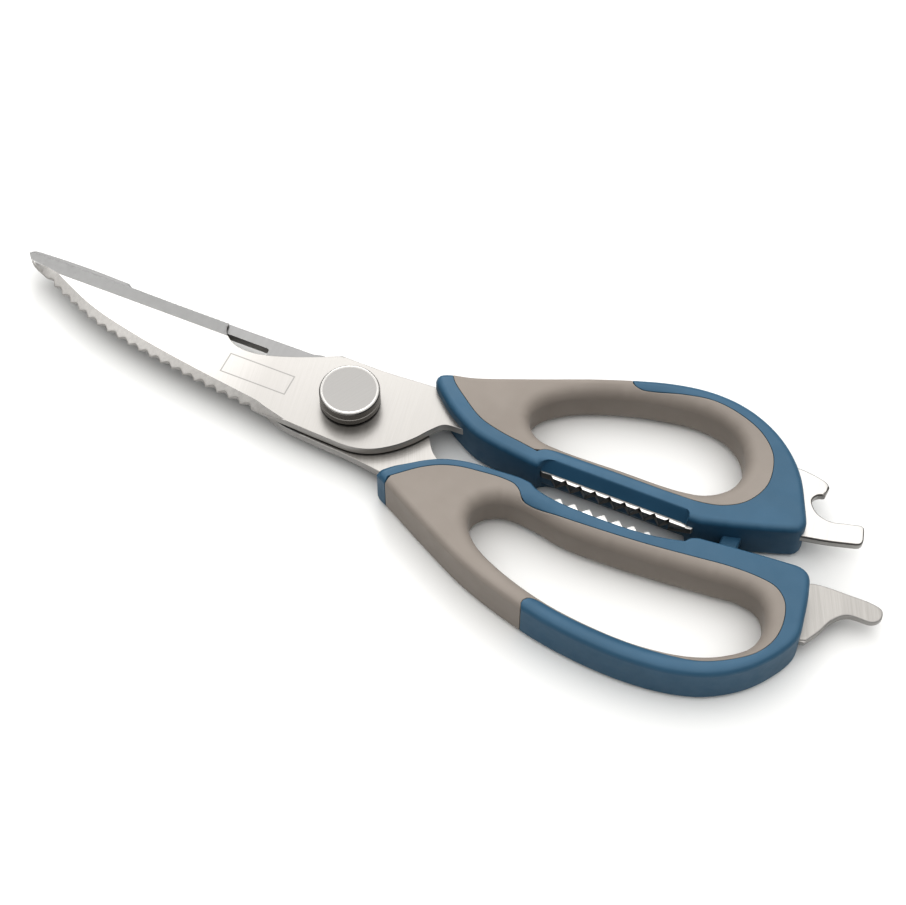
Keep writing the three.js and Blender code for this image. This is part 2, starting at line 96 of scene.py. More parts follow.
# ---- sizes of the fine surface -------------------------------------------
CURVE_STEP = 0.9  # spacing of points along a curved outline
TANGENT_REACH = 0.4
OUTER_EDGE_RADIUS = 1.6
GAP_EDGE_RADIUS = 0.75  # along the lower handle's edge that faces the upper handle
LOOP_EDGE_RADIUS = 3.4
FILLET_RINGS = 6
SEAM_STEPS = (-0.2, -0.09, -0.03, 0.03, 0.09, 0.2)  # lines laid beside the grip's edge
SEAM_DEPTH = 0.1
GRIP_THICKNESS = 1.0
CORE_UNDER_GRIP = 1.3
EDGE_CHAMFER = 0.14  # broken edges of the steel plates
EDGE_RINGS = (EDGE_CHAMFER * 0.4, EDGE_CHAMFER, 0.28, 0.5)  # lines laid inside a plate's outline
TAIL_EDGE_AT = (98, 112)  # along X, where a plate's broken edge grows wider and rounder
TAIL_EDGE_RADIUS = 0.5
PIVOT_BORE = 3.2  # radius of the hole that the pivot screw turns in

CUTTING_BEVEL_Y = 5.3
CUTTING_EDGE_Y = 10.2
EDGE_LAND = 0.3  # steel left under a ground edge
CUTTING_BEVEL_END = -30  # the cutting bevel lies left of this X
SPINE_FINISH_END = -8  # the lower blade's top is ground left of this X
SCALER_BEVEL_END = -11.2
SCALER_BEVEL_AT = (-95, -92.5, -89.5, -86, -60, -21, SCALER_BEVEL_END)
SCALER_BEVEL_WIDTH = (0.25, 0.7, 1.8, 2.45, 2.4, 1.9, 0.05)
SCALER_STEEPEST = 1.1  # greatest slope of the scaler's bevel
LOWER_BEVEL_WIDTH = 4.2
LOWER_BEVEL_END = -16
LOWER_BEVEL_FADE = (-28, 0.35)  # where the lower bevel begins to fade, and how fast
PRY_BEND, PRY_TAPER_LENGTH, PRY_TAPER = 126.6, 9.0, 0.55  # the pry tip thins out beyond its bend
PRY_BEND_LEAN = 0.1
FINE_TOOTH_PITCH = 1.5
FINE_TOOTH_DEPTH = 0.22
FINE_TEETH_FROM = -66.0
SCALER_TEETH = 20
SCALER_FIRST_TOOTH = 13.2
SCALER_PITCH = 3.38
SCALER_DEPTH = 0.85
SCALER_SKEW = 1.36  # above 1, each hollow is deepest past its middle
SCALER_LEAD_SAMPLES = 12
TOOTH_SAMPLES = 8
JAW_PITCH = 3.73
JAW_DEPTH = 1.6
JAW_TIP_HALF = 0.12
JAW_FROM, JAW_TO = 49, 88  # along X
UPPER_JAW = (8, 54.4, -1.65, -1)  # teeth, first tip, Y of the tips, side they point to
LOWER_JAW = (7, 56.4, -3.65, 1)
JAW_GRIND_AT = (0.1, 0.72, 1.65)  # distances in front of the pivot at which the upper jaw is ground down
JAW_GRIND_DROP = (0, 0.12, 1.15)
JAW_LINES_AT = (*JAW_GRIND_AT[:2], 1.05, 1.35)
JAW_LINES_FROM, JAW_LINES_TO = 50.8, 86.4

# ---- outlines: a run of three or more points is a smooth curve -----------
SCALER_BACK = [
    (-94.9, 9.5), (-91.8, 6.3), (-87, 4.2), (-80.5, 1.1), (-71, -2.7), (-58, -5.8), (-41.6, -8.4),
    (-20.9, -10.9),
]
UPPER_HEEL = [
    (-18.5, -11.2), (-11, -11.6), (-2, -12), (6, -12), (10.7, -10.5), (15, -7.5), (18.6, -3.6),
    (21.4, 0.5), (23.6, 2.8), (27.5, 3.3), (31, 3.4), (37, 2.5), (43, 1.9), (48.5, 0.6),
]
UPPER_JAW_LEFT = [(50.4, -0.2)]
UPPER_JAW_RIGHT = [(82.7, -1.7), (87.9, -0.6)]
UPPER_TANG_REAR = [(89.6, 2), (97, 3.8), (104, 6), (110.5, 7.6), (118, 9.2), (124.3, 11)]
CAP_LIFTER = [(124.3, 11), (125.2, 11.5), (125.6, 12.4), (125.2, 14.4), (124.8, 15.8), (124.4, 16.4),
              (123.6, 16.5)]
CAP_LIFTER_HOOK = [(123.6, 16.5), (120.1, 15.5), (116.8, 14.7), (113.2, 15.7), (111.1, 18.5),
                   (111.9, 20.3), (113.5, 21)]
CAP_LIFTER_BACK = [(113.7, 23.6), (112.6, 24.6), (106, 25.7), (101.5, 25.2)]
UPPER_TANG_TOP = [
    (101.5, 25.2), (98.6, 21.5), (97.4, 16.5), (95.4, 10.5), (90.5, 5.9), (84, 4.4), (68, 4.3), (52, 4.1),
    (45, 5.2), (40, 8.2), (31, 12), (24, 12.4), (14, 11.9), (4, 11.3), (-7.5, 11.3),
]
BONE_NOTCH = [
    (-7.5, 11.3), (-12, 9.1), (-19.2, 5.9), (-25, 3.9), (-29.5, 3.2), (-33.6, 3.9), (-36.7, 6.2),
    (-38, 8.6),
]
UPPER_EDGE_RIGHT = -38.2
UPPER_EDGE_LEFT = -93.4

LOWER_EDGE = [
    (-95, 10.4), (-90, 7.2), (-80, 3.8), (-68, 1), (-54, -1.5), (-39, -3.6), (-28, -6), (-18.5, -9.9),
    (-13, -11.6), (-4, -12.5), (6.8, -13.2), (18, -14.8), (25, -17), (31, -17), (37, -13.8),
    (42.5, -10.8), (49, -10), (57, -10.8), (66, -11.3), (80, -11.1), (92, -10.4), (103, -9.4),
    (108.6, -9.7), (112.6, -11.8), (115.2, -15.4), (118.5, -17),
]
PRY_TIP = [
    (121.6, -16.6), (123.9, -12.5), (125.5, -8.8), (128.4, -6), (134.2, -5.3), (135.7, -3.6),
    (135.2, -1.2), (132.5, -0.5), (126.4, -0.7), (122.4, -0.75), (119.5, -1), (117.4, -1.6), (115, -2.9),
    (112, -4.3), (104, -4.7), (96, -5.4), (89.5, -6.6),
]
LOWER_JAW_RIGHT = [(87.4, -5.9), (81.2, -4.6)]
LOWER_JAW_LEFT = [(51.5, -6.6)]
LOWER_TANG_TOP = [
    (48.5, -7.6), (41, -8.1), (34, -8.6), (30, -7.9), (26.5, -5.8), (23.6, -3.8), (21.3, -0.6),
    (18.4, 3.9), (13.5, 8.6), (7, 10.8), (-4, 11.1), (-13, 11.1),
]
LOWER_SPINE = [(-15.2, 10.5), (-40, 10.3)]
LOWER_SPINE_STEP = [(-66, 10.6), (-67.2, 11.4)]
LOWER_TIP = [(-67.2, 11.4), (-80, 11.6), (-90, 11.3), (-94, 11), (-95, 10.4)]
BONE_SLOT = (-39.5, -25.7, 4.2, 7.5)  # left, right, bottom, top
BONE_SLOT_RADIUS = 0.7

UPPER_HANDLE = [
    [(47.9, -0.75), (48.7, -0.74), (49.2, -0.58), (49.45, -0.2), (49.7, 0.15), (50.3, 0.3)],
    [(84.4, 0.3), (85.3, 0.25), (86.1, 0.02), (87, -0.08), (89.3, 0)],
    [(89.3, 0), (96, 1.9), (103, 4.1), (109, 6.2), (111.5, 7.4), (112.3, 9.6), (111, 13.3)],
    [(111, 13.3), (106.8, 22), (102, 27.8), (96, 32.2), (88.5, 35.2), (80, 36.1), (70, 34.6), (55, 29.4),
     (38, 22), (25, 16.6), (20, 15.3), (17.6, 14), (17.2, 12.3), (19, 10.2), (23.5, 6.3), (27.5, 3.8),
     (32, 1.6), (40, 0.1), (47.9, -0.75)],
]
THUMB_HOLE = [
    (42, 13.3), (43.6, 17.2), (50, 22.2), (60, 26.4), (70, 29), (79, 30.1), (86.5, 28.6), (91.8, 24.2),
    (94, 17.6), (92.5, 12.4), (88, 8.7), (82, 7.3), (67, 6.9), (52, 6.6), (46.5, 7.3), (43, 9.9),
]
UPPER_GRIP = [
    [(19.4, 18), (20.4, 15.2)],
    [(20.4, 15.2), (21.7, 13.3), (25.8, 10), (31.5, 6.2), (37, 4.5), (44, 3.4), (47.6, 2.8)],
    [(47.6, 2.8), (49.1, 4), (52, 4.7), (60, 4.9), (82, 4.9), (88, 5.1), (93, 6.4), (97.3, 9.3),
     (100, 13.8), (100.6, 18), (98.9, 24.5), (94.5, 29.2), (88, 32.2), (81, 33.4), (74, 32.3),
     (67, 30.2), (63.5, 29.5), (61.3, 30.2), (60.6, 31.8)],
    [(60.6, 40), (19.4, 40)],
]
LOWER_HANDLE = [
    [(15.5, -17.9), (16.1, -18.5), (19.4, -20.1), (30, -25.7), (43, -32.1), (55, -36.2), (66, -38.8),
     (78, -40.2), (88, -40.3), (98, -39), (106, -36.2), (113, -31.2), (118, -24.8), (120.4, -19.2),
     (119.8, -13), (118.6, -6.6), (117.3, -2.9), (115, -1.7), (111, -2)],
    [(111, -2), (100, -3), (91, -4)],
    [(91, -4), (89.2, -4.7), (88.2, -6)],
    [(88.2, -6), (84, -7.1), (80, -7.8), (75, -8.25), (70, -8.4), (63, -8.35), (58, -8.1), (54, -7.5),
     (51.4, -6.75), (49.8, -5.8)],
    [(49.8, -5.8), (47.5, -5.5), (41, -5.8), (34, -6.4), (29, -7.7), (25, -9.7), (21, -12.6), (17.8, -15),
     (15.9, -16.8), (15.5, -17.9)],
]
FINGER_HOLE = [
    (39.8, -18.4), (40.9, -22), (44.5, -25.7), (52, -29.4), (64, -33), (77, -34.7), (89, -34.7),
    (100, -32.6), (107, -29.1), (111.5, -24.6), (112.2, -19), (109.6, -13.5), (104.5, -11.7),
    (97, -12.3), (85, -13.4), (72, -14.2), (61, -14.1), (52, -12.5), (45.5, -12.5), (41.3, -14.9),
]
LOWER_GRIP = [
    [(16.6, -44), (61, -44)],
    [(61, -38.6), (60.2, -36.6), (60.8, -34.9), (63, -33.9)],
    [(63, -33.9), (70, -35), (78, -35.6), (89, -35.6), (96, -35.1), (102, -34), (108, -31), (113, -27),
     (115.6, -22.4), (116, -17), (114.5, -12), (111.5, -9.3), (107, -8.4), (100, -8.4), (91, -9.4),
     (80, -10.6), (70, -11.3), (60, -11.7), (52.5, -11.6), (49.6, -10.9), (48.3, -9.2), (46.5, -7.9),
     (43, -7.5), (38, -7.9), (32.8, -8.6), (28.3, -10.1), (24.3, -12.6), (20.7, -15.8), (18.4, -18)],
]
RECESS_LEFT, RECESS_RIGHT = 49.2, 87.0
RECESS_LEDGE_Y, RECESS_RIM_Y = 0.3, 2.0
RECESS_CORNER_Y = -0.6  # where the rounding of the recess's far corners begins
RECESS_LEFT_CORNER, RECESS_RIGHT_CORNER = 4.0, 1.6
RECESS_END_LEAN = 6.5  # drop of the recess's end walls for each millimetre inwards
RECESS_SOFTNESS = 0.25  # rounding where the recess's surfaces meet
RECESS_RIM_STEPS = (0.25, 0.6, 1.0, 1.3, 1.5, 1.65, 1.8, 2.0)
RECESS_END_STEPS = (-0.3, -0.12, 0, 0.12, 0.25, 0.4, 0.55, 0.7, 0.85, 1.1)
GAP_EDGE_Y, GAP_EDGE_X = (-17.5, -14.5), (110, 118)  # the tighter edge starts over Y and ends over X
STOP = (95, 99.3, -2.7, 4, -3, 0.8)  # left, right, front, back, low, high
STOP_CHAMFER = 0.35


# ---- plane geometry ------------------------------------------------------
def curve(run, closed=False, step=CURVE_STEP):
    """Points along a centripetal Catmull-Rom curve through a run; two points stay a straight line."""
    knots = np.array(run, float)
    count = len(knots)
    if count < 3:
        return knots
    points = []
    for i in range(count if closed else count - 1):
        p1, p2 = knots[i], knots[(i + 1) % count]
        p0 = knots[i - 1] if closed or i > 0 else 2 * p1 - p2
        p3 = knots[(i + 2) % count] if closed or i + 2 < count else 2 * p2 - p1
        d0, d1, d2 = (math.sqrt(np.linalg.norm(b - a)) for a, b in ((p0, p1), (p1, p2), (p2, p3)))
        t1 = ((p1 - p0) / d0 - (p2 - p0) / (d0 + d1) + (p2 - p1) / d1) * d1
        t2 = ((p2 - p1) / d1 - (p3 - p1) / (d1 + d2) + (p3 - p2) / d2) * d1
        facets = max(1, round(np.linalg.norm(p2 - p1) / step))
        for f in range(facets):
            u = f / facets
            h = (2 * u**3 - 3 * u**2 + 1, u**3 - 2 * u**2 + u, -2 * u**3 + 3 * u**2, u**3 - u**2)
            points.append(h[0] * p1 + h[1] * t1 + h[2] * p2 + h[3] * t2)
    if not closed:
        points.append(knots[-1])
    return np.array(points)


def divide(loop, longest):
    """Adds points to the pieces of a closed loop that are longer than a limit."""
    points = []
    for a, b in zip(loop, np.roll(loop, -1, axis=0)):
        parts = max(1, math.ceil(np.linalg.norm(b - a) / longest))
        points.extend(a + (b - a) * k / parts for k in range(parts))
    return np.array(points)


def joined(parts, longest=1.6):
    """One closed, anticlockwise loop from drawn runs, without repeated points or long straights."""
    points = []
    for part in parts:
        for point in np.asarray(part, float):
            if not points or min(np.linalg.norm(point - p) for p in (points[-1], points[0])) > 1e-3:
                points.append(point)
    return anticlockwise(divide(np.array(points), longest))


def nearest(points, line, closed=True):
    """Distance from each point to a line, and the unit direction from the point towards it."""
    best = np.full(len(points), np.inf)
    gap = np.zeros((len(points), 2))
    normal = np.zeros((len(points), 2))
    ends = np.roll(line, -1, axis=0) if closed else line[1:]
    for a, b in zip(line, ends):
        ab = b - a
        share = np.clip(((points - a) @ ab) / (ab @ ab), 0, 1)
        reach = a + share[:, None] * ab - points
        distance = np.hypot(reach[:, 0], reach[:, 1])
        closer = distance < best
        best[closer] = distance[closer]
        gap[closer] = reach[closer]
        normal[closer] = np.array([ab[1], -ab[0]]) / math.sqrt(ab @ ab)
    far = best > 1e-4
    normal[far] = gap[far] / best[far, None]
    return best, normal


def inside(points, loop):
    """Which points lie inside a closed loop."""
    odd = np.zeros(len(points), bool)
    x, y = points[:, 0], points[:, 1]
    for a, b in zip(loop, np.roll(loop, -1, axis=0)):
        if a[1] != b[1]:
            crosses = (a[1] > y) != (b[1] > y)
            odd ^= crosses & (x < a[0] + (y - a[1]) * (b[0] - a[0]) / (b[1] - a[1]))
    return odd


def signed(points, loop):
    """Distance to a closed loop, positive inside it."""
    return np.where(inside(points, loop), 1, -1) * nearest(points, loop)[0]


def area(loop):
    x, y = loop[:, 0], loop[:, 1]
    return 0.5 * float(np.sum(x * np.roll(y, -1) - y * np.roll(x, -1)))


def circle(radius, count=64):
    """Points around a circle at the pivot, anticlockwise."""
    turns = np.linspace(0, 2 * math.pi, count, endpoint=False)
    return radius * np.column_stack([np.cos(turns), np.sin(turns)])


def anticlockwise(loop):
    return loop if area(loop) > 0 else loop[::-1]


def beside(loop, distance):
    """A loop moved inwards by a distance (outwards if negative), with folded points left out."""
    before, after = np.roll(loop, 1, axis=0), np.roll(loop, -1, axis=0)
    along = after - before
    along /= np.linalg.norm(along, axis=1)[:, None]
    moved = loop + distance * np.column_stack([-along[:, 1], along[:, 0]])
    clear = nearest(moved, loop)[0] > abs(distance) * 0.97
    return moved[clear]


def triangulate(loops, lines, keep):
    """Triangles of the area that keep() accepts, with every loop and line lying along their edges."""
    points, edges = [], []
    for path, closed in [(p, True) for p in loops] + [(p, False) for p in lines]:
        start, count = len(points), len(path)
        points.extend(Vector(p) for p in path)
        edges.extend((start + i, start + (i + 1) % count) for i in range(count if closed else count - 1))
    found = delaunay_2d_cdt(points, edges, [], 0, 1e-4)
    flat = np.array([tuple(p) for p in found[0]])
    faces = np.array(found[2])
    corners = flat[faces]
    u, v = corners[:, 1] - corners[:, 0], corners[:, 2] - corners[:, 0]
    doubled = u[:, 0] * v[:, 1] - u[:, 1] * v[:, 0]
    faces = faces[(np.abs(doubled) > 1e-7) & keep(corners.mean(axis=1))]
    used, faces = np.unique(faces, return_inverse=True)
    return flat[used], faces.reshape(-1, 3)


def rim_edges(faces):
    """The directed edges that only one face has."""
    pairs = {}
    for face in faces:
        for i in range(len(face)):
            a, b = face[i], face[(i + 1) % len(face)]
            if (b, a) in pairs:
                del pairs[(b, a)]
            else:
                pairs[(a, b)] = True
    return list(pairs)


# ---- meshes --------------------------------------------------------------
def make_piece(name, points_mm, faces, materials, body, node, smooth_below=35, picks=None):
    """A piece from points in drawing millimetres: shaded, riding on its body, standing for its node."""
    mesh = bpy.data.meshes.new(name)
    placed = np.asarray(points_mm, float) * MM + np.array(PIVOT)
    mesh.from_pydata([tuple(p) for p in placed], [], [tuple(int(i) for i in f) for f in faces])
    for material in materials:
        mesh.materials.append(material)
    if picks is not None:
        mesh.polygons.foreach_set("material_index", np.asarray(picks, np.int32))
    mesh.validate()
    mesh.update()
    mesh.shade_smooth()
    mesh.set_sharp_from_angle(angle=math.radians(smooth_below))
    piece = bpy.data.objects.new(name, mesh)
    bpy.context.scene.collection.objects.link(piece)
    weighted = piece.modifiers.new("weighted", "WEIGHTED_NORMAL")
    weighted.keep_sharp = True
    weighted.weight = 60
    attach(piece, body)
    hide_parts(node)
    return piece


def walled(flat, faces, top, bottom):
    """A closed solid from flat triangles and the heights of their two surfaces."""
    count = len(flat)
    points = np.vstack([np.column_stack([flat, top]), np.column_stack([flat, bottom])])
    sides = [(b, a, a + count, b + count) for a, b in rim_edges(faces)]
    return points, [tuple(f) for f in faces] + [tuple(f[::-1] + count) for f in faces] + sides


def fillet(distance, radius):
    """How far a rounded edge drops at a distance from its wall, and how level its normal lies there."""
    level = np.clip((radius - distance) / radius, 0, 1)
    return radius * (1 - np.sqrt(1 - level**2)), level


# ---- handles -------------------------------------------------------------
def recess_drop(flat):
    """How deep the leaning recess over the jaw lies under the handle's flat."""
    floor_depth = HANDLE_TOP - BLADE_OUTER
    lean = floor_depth / (RECESS_RIM_Y - RECESS_LEDGE_Y)
    x, y = flat[:, 0], flat[:, 1]
    left, right = recess_ends(y)
    sides = [(RECESS_RIM_Y - y) * lean, (x - left) * RECESS_END_LEAN, (right - x) * RECESS_END_LEAN]
    depth = -RECESS_SOFTNESS * np.log(sum(np.exp(-np.clip(s, -40, 40) / RECESS_SOFTNESS) for s in sides))
    return np.minimum(RECESS_SOFTNESS * np.logaddexp(0, depth / RECESS_SOFTNESS), floor_depth)


def recess_ends(y):
    """Where the recess starts and ends at a depth into the handle: both far corners are rounded."""
    into = np.clip((y - RECESS_CORNER_Y) / (RECESS_RIM_Y - RECESS_CORNER_Y), 0, 0.995)
    bulge = 1 - np.sqrt(1 - into**2)
    return RECESS_LEFT + RECESS_LEFT_CORNER * bulge, RECESS_RIGHT - RECESS_RIGHT_CORNER * bulge


def recess_lines():
    """Lines along and across the recess, close together at its rounded rim and ends."""
    lines = []
    for step in RECESS_RIM_STEPS:
        y = RECESS_LEDGE_Y + step
        lines.append(np.array([(x, y) for x in np.linspace(RECESS_LEFT - 0.5, RECESS_RIGHT + 0.5, 60)]))
    depths = np.linspace(-1.0, RECESS_RIM_Y - 0.02, 26)
    for step in RECESS_END_STEPS:
        left, right = recess_ends(depths)
        lines.append(np.column_stack([left + step, depths]))
        lines.append(np.column_stack([right - step, depths]))
    return lines


def handle(side, outline_runs, hole_run, grip_runs, core_look, grip_look, recessed, edge_radius):
    """One moulded handle: the rigid core, lowered under the grip, and the soft grip over it."""
    outline = joined([curve(run) for run in outline_runs], 3 * CURVE_STEP)
    hole = anticlockwise(curve(hole_run, closed=True))
    grip = joined([curve(run) for run in grip_runs], 3 * CURVE_STEP)
    rings = [outline, hole]
    for ring in range(1, FILLET_RINGS + 1):
        share = 1 - math.cos(math.pi / 2 * ring / FILLET_RINGS)
        rings.append(beside(outline, OUTER_EDGE_RADIUS * share))
        rings.append(beside(outline, edge_radius(outline).min() * share))
        rings.append(beside(hole, -LOOP_EDGE_RADIUS * share))
    seams = [beside(grip, step) for step in SEAM_STEPS]
    flat, faces = triangulate(
        rings + seams, recess_lines() if recessed else [], lambda c: inside(c, outline) & ~inside(c, hole)
    )
    outer_drop, outer_level = fillet_at(flat, outline, edge_radius(flat))
    hole_drop, hole_level = fillet_at(flat, hole[::-1], LOOP_EDGE_RADIUS)
    drop = outer_drop + hole_drop
    if recessed:
        drop = np.maximum(drop, recess_drop(flat))
    sideways = outer_level + hole_level
    up = np.sqrt(np.clip(1 - (sideways**2).sum(axis=1), 0, 1))
    top = HANDLE_TOP - drop
    points, solid_faces = walled(flat, faces, top, -top)
    normals = np.vstack([np.column_stack([sideways, up]), np.column_stack([sideways, -up])])
    depth = np.tile(signed(flat, grip), 2)

    sunk = np.interp(depth, SEAM_STEPS[:4], (0, 0.02, SEAM_DEPTH, CORE_UNDER_GRIP))
    core_points = points - normals * sunk[:, None]
    core_faces = list(solid_faces)
    if recessed:
        core_points, core_faces = with_stop(core_points, core_faces)
    make_piece(f"{side}_handle_shell", core_points, core_faces, [core_look], f"{side}_half",
               f"{side}_handle_core", smooth_below=42)

    shallow = np.interp(depth, SEAM_STEPS[3:], (SEAM_DEPTH, 0.02, 0))
    outer_skin = points - normals * shallow[:, None]
    inner_skin = points - normals * GRIP_THICKNESS
    count = len(points)
    skin = [f for f in solid_faces if depth[list(f)].min() > SEAM_STEPS[3] - 0.015]
    under = [tuple(i + count for i in f[::-1]) for f in skin]
    border = [(b, a, a + count, b + count) for a, b in rim_edges(skin)]
    grip_points, grip_faces = compact(np.vstack([outer_skin, inner_skin]), skin + under + border)
    make_piece(f"{side}_soft_grip", grip_points, grip_faces, [grip_look], f"{side}_half",
               f"{side}_handle_grip", smooth_below=42)


def upper_edge_radius(flat):
    """The same all round the upper handle."""
    return np.full(len(flat), OUTER_EDGE_RADIUS)


def lower_edge_radius(flat):
    """Tighter along the edge that faces the upper handle."""
    x, y = flat[:, 0], flat[:, 1]
    facing = np.interp(y, GAP_EDGE_Y, (0, 1)) * np.interp(x, GAP_EDGE_X, (1, 0))
    return OUTER_EDGE_RADIUS + (GAP_EDGE_RADIUS - OUTER_EDGE_RADIUS) * facing


def fillet_at(flat, loop, radius):
    """The rounded edge's drop, and the sideways part of its normal, along one closed wall."""
    distance, outwards = nearest(flat, loop)
    drop, level = fillet(distance, radius)
    return drop, outwards * level[:, None]


def compact(points, faces):
    """The same faces over only the points that they use."""
    used = sorted({i for f in faces for i in f})
    place = {old: new for new, old in enumerate(used)}
    return points[used], [tuple(place[i] for i in f) for f in faces]


def with_stop(points, faces):
    """Adds the small closing stop, a block with broken edges, to the upper handle's core."""
    left, right, front, back, low, high = STOP
    edge = STOP_CHAMFER
    block = divide(np.array([(left, front), (right, front), (right, back), (left, back)], float), 0.5)
    inner = divide(np.array([(left + edge, front + edge), (right - edge, front + edge),
                             (right - edge, back), (left + edge, back)], float), 0.5)
    flat, tris = triangulate([block, inner], [], lambda c: inside(c, block))
    drop = np.clip(edge - nearest(flat, block)[0], 0, edge)
    extra, extra_faces = walled(flat, tris, high - drop, low + drop)
    shift = len(points)
    return np.vstack([points, extra]), faces + [tuple(i + shift for i in f) for f in extra_faces]


# ---- blades --------------------------------------------------------------
def along(line, distances):
    """Points and unit directions at distances along an open line."""
    pieces = np.linalg.norm(np.diff(line, axis=0), axis=1)
    travelled = np.concatenate([[0], np.cumsum(pieces)])
    spots = np.column_stack([np.interp(distances, travelled, line[:, k]) for k in (0, 1)])
    later, earlier = (
        np.column_stack([np.interp(distances + reach, travelled, line[:, k]) for k in (0, 1)])
        for reach in (TANGENT_REACH, -TANGENT_REACH)
    )
    direction = later - earlier
    return spots, direction / np.linalg.norm(direction, axis=1)[:, None]


def shifted(line, widths):
    """An open line moved to its left by a width at each point."""
    direction = np.gradient(line, axis=0)
    direction /= np.linalg.norm(direction, axis=1)[:, None]
    return line + np.column_stack([-direction[:, 1], direction[:, 0]]) * np.asarray(widths)[:, None]


def scaler_teeth():
    """The scalloped back of the upper blade: shallow hollows that rise slowly and end at a sharp tip."""
    back = curve(SCALER_BACK, step=0.5)
    first = SCALER_FIRST_TOOTH - SCALER_PITCH
    distances = list(np.linspace(0, first, SCALER_LEAD_SAMPLES, endpoint=False))
    insets = [0] * SCALER_LEAD_SAMPLES
    for tooth in range(SCALER_TEETH):
        for sample in range(TOOTH_SAMPLES):
            share = sample / TOOTH_SAMPLES
            distances.append(first + (tooth + share) * SCALER_PITCH)
            insets.append(SCALER_DEPTH * math.sin(math.pi * share**SCALER_SKEW))
    distances.append(first + SCALER_TEETH * SCALER_PITCH)
    insets.append(0)
    spots, direction = along(back, np.array(distances))
    return spots + np.column_stack([-direction[:, 1], direction[:, 0]]) * np.array(insets)[:, None]


def fine_serration():
    """The cutting edge from the notch to the tip, with fine teeth over the part next to the notch."""
    points = [(UPPER_EDGE_RIGHT, CUTTING_EDGE_Y)]
    teeth = int((UPPER_EDGE_RIGHT - FINE_TEETH_FROM) / FINE_TOOTH_PITCH)
    for tooth in range(teeth):
        start = UPPER_EDGE_RIGHT - tooth * FINE_TOOTH_PITCH
        for share in (0.25, 0.5, 0.75, 1):
            hollow = FINE_TOOTH_DEPTH * math.sin(math.pi * share)
            points.append((start - share * FINE_TOOTH_PITCH, CUTTING_EDGE_Y - hollow))
    points.append((UPPER_EDGE_LEFT, CUTTING_EDGE_Y))
    return np.array(points)


def jaw_teeth(count, first_tip, tip_y, side):
    """Triangular jaw teeth from left to right, whose tips point to -Y (side -1) or +Y (side 1)."""
    points = []
    for tooth in range(count):
        tip = first_tip + tooth * JAW_PITCH
        points.append((tip - JAW_PITCH / 2, tip_y - side * JAW_DEPTH))
        points += [(tip - JAW_TIP_HALF, tip_y), (tip + JAW_TIP_HALF, tip_y)]
    points.append((first_tip + (count - 0.5) * JAW_PITCH, tip_y - side * JAW_DEPTH))
    return np.array(points)


def plate_edge(flat, outline):
    """The drop of a plate's broken edge, wider and rounder around the tools at the tail."""
    radius = np.interp(flat[:, 0], TAIL_EDGE_AT, (EDGE_CHAMFER, TAIL_EDGE_RADIUS))
    return fillet(nearest(flat, outline)[0], radius)[0]


# the last look is no finish but painted shade: dark steel on the jaw's shaded walls and tooth faces and on
# the tail tools' rounded edges
FLAT, GROUND, SCALED, EDGE, PAINTED_SHADE = range(5)  # a blade's finishes in the order of its looks, and last a painted shade
EDGE_SEEN = 0.03  # where a broken edge has dropped by more than this, it has the edge's finish


def over_jaw(flat):
    """Which points lie between the two ends of the jaws."""
    return (flat[:, 0] > JAW_FROM) & (flat[:, 0] < JAW_TO)


def blade(name, outline, holes, lines, top_drop, bottom_drop, low, high, tool_rim, looks, body, node):
    """A blade plate: `top_drop` and `bottom_drop` give what is ground off each face, and its finish."""
    rings = [outline, *(beside(outline, ring) for ring in EDGE_RINGS)]
    flat, faces = triangulate(
        rings + holes, lines, lambda c: inside(c, outline) & ~np.any([inside(c, h) for h in holes], axis=0)
    )
    edge = plate_edge(flat, outline)
    top, _ = top_drop(flat)
    bottom, _ = bottom_drop(flat)
    points, solid_faces = walled(flat, faces, high - edge - top, low + edge + bottom)
    centres = flat[faces].mean(axis=1)
    walls = flat[[face[0] for face in solid_faces[2 * len(faces):]]]
    rim = plate_edge(centres, outline) > EDGE_SEEN
    # a tool rim of the dark steel paints the dark reflection along the tail tools' rounded edges
    rim_look = np.where(centres[:, 0] > TAIL_EDGE_AT[0], tool_rim, EDGE)
    kinds = [np.where(rim, rim_look, ground_off(centres)[1]) for ground_off in (top_drop, bottom_drop)]
    # the plate's walls over the jaw get painted shade
    picks = np.concatenate([*kinds, np.where(over_jaw(walls), PAINTED_SHADE, EDGE)])
    make_piece(name, points, solid_faces, looks, body, node, smooth_below=16, picks=picks)


